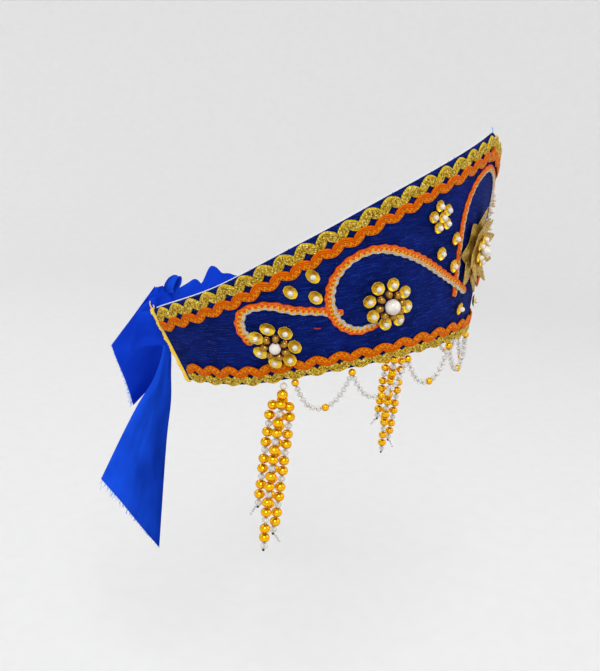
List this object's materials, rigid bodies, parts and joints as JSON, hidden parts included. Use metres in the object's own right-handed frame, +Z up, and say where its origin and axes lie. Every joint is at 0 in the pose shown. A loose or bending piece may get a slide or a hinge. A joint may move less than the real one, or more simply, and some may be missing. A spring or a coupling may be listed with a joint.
{
  "type": "kokoshnik headdress",
  "caption": "Pointed kokoshnik of dark blue brocade with ric-rac braid, scrolls, sequin rosettes, bead swags, netted bead pendants and a blue satin ribbon tied behind.",
  "frame": {"origin": "middle of the head opening at the height of the brow, where the headdress sits on a head", "axes": "+Z up as worn, -Y the way the wearer's face looks, +X the wearer's left"},
  "size_m": [0.1814, 0.2004, 0.2645],
  "materials": {
    "brocade": "dark blue ribbed brocade with a dull sheen",
    "lining": "white interlining, matt",
    "gold_braid": "gold lurex braid, glittering",
    "orange_braid": "orange braid with a gold thread",
    "sequin": "shiny gold foil cups",
    "gold_cloth": "gold lame cloth",
    "pearl": "pearly",
    "gold_bead": "gold and clear glass beads",
    "satin": "royal blue satin"
  },
  "bodies": {
    "root": {"crown_band": "brocade", "crown_lining": "lining", "ricrac_top_gold": "gold_braid", "ricrac_top_orange": "orange_braid", "ricrac_rim_orange": "orange_braid", "ricrac_rim_gold": "gold_braid", "scroll_large_right": "orange_braid", "scroll_small_right": "orange_braid", "scroll_large_left": "orange_braid", "scroll_small_left": "orange_braid", "scroll_brow": "orange_braid", "end_cord_right": "gold_braid", "end_cord_left": "gold_braid", "sequin_right_1": "sequin", "sequin_left_1": "sequin", "sequin_right_2": "sequin", "sequin_left_2": "sequin", "sequin_right_3": "sequin", "sequin_left_3": "sequin", "sequin_right_4": "sequin", "sequin_left_4": "sequin", "sequin_right_5": "sequin", "sequin_left_5": "sequin", "sequin_right_6": "sequin", "sequin_left_6": "sequin", "sequin_right_7": "sequin", "sequin_left_7": "sequin", "rosette_back_right": "sequin", "rosette_back_pearl_right": "pearl", "rosette_back_left": "sequin", "rosette_back_pearl_left": "pearl", "rosette_side_right": "sequin", "rosette_side_pearl_right": "pearl", "rosette_side_left": "sequin", "rosette_side_pearl_left": "pearl", "rosette_upper_right": "sequin", "rosette_upper_left": "sequin", "medallion_leaves": "gold_cloth", "medallion_cups": "sequin", "medallion_pearl": "pearl", "swags_right": "gold_bead", "swags_left": "gold_bead", "pendant_right": "gold_bead", "pendant_left": "gold_bead", "ribbon_tie_right": "satin", "ribbon_tie_left": "satin", "ribbon_knot": "satin", "ribbon_loop": "satin", "ribbon_tail_short": "satin", "ribbon_tail_long": "satin"}
  },
  "joints": []
}
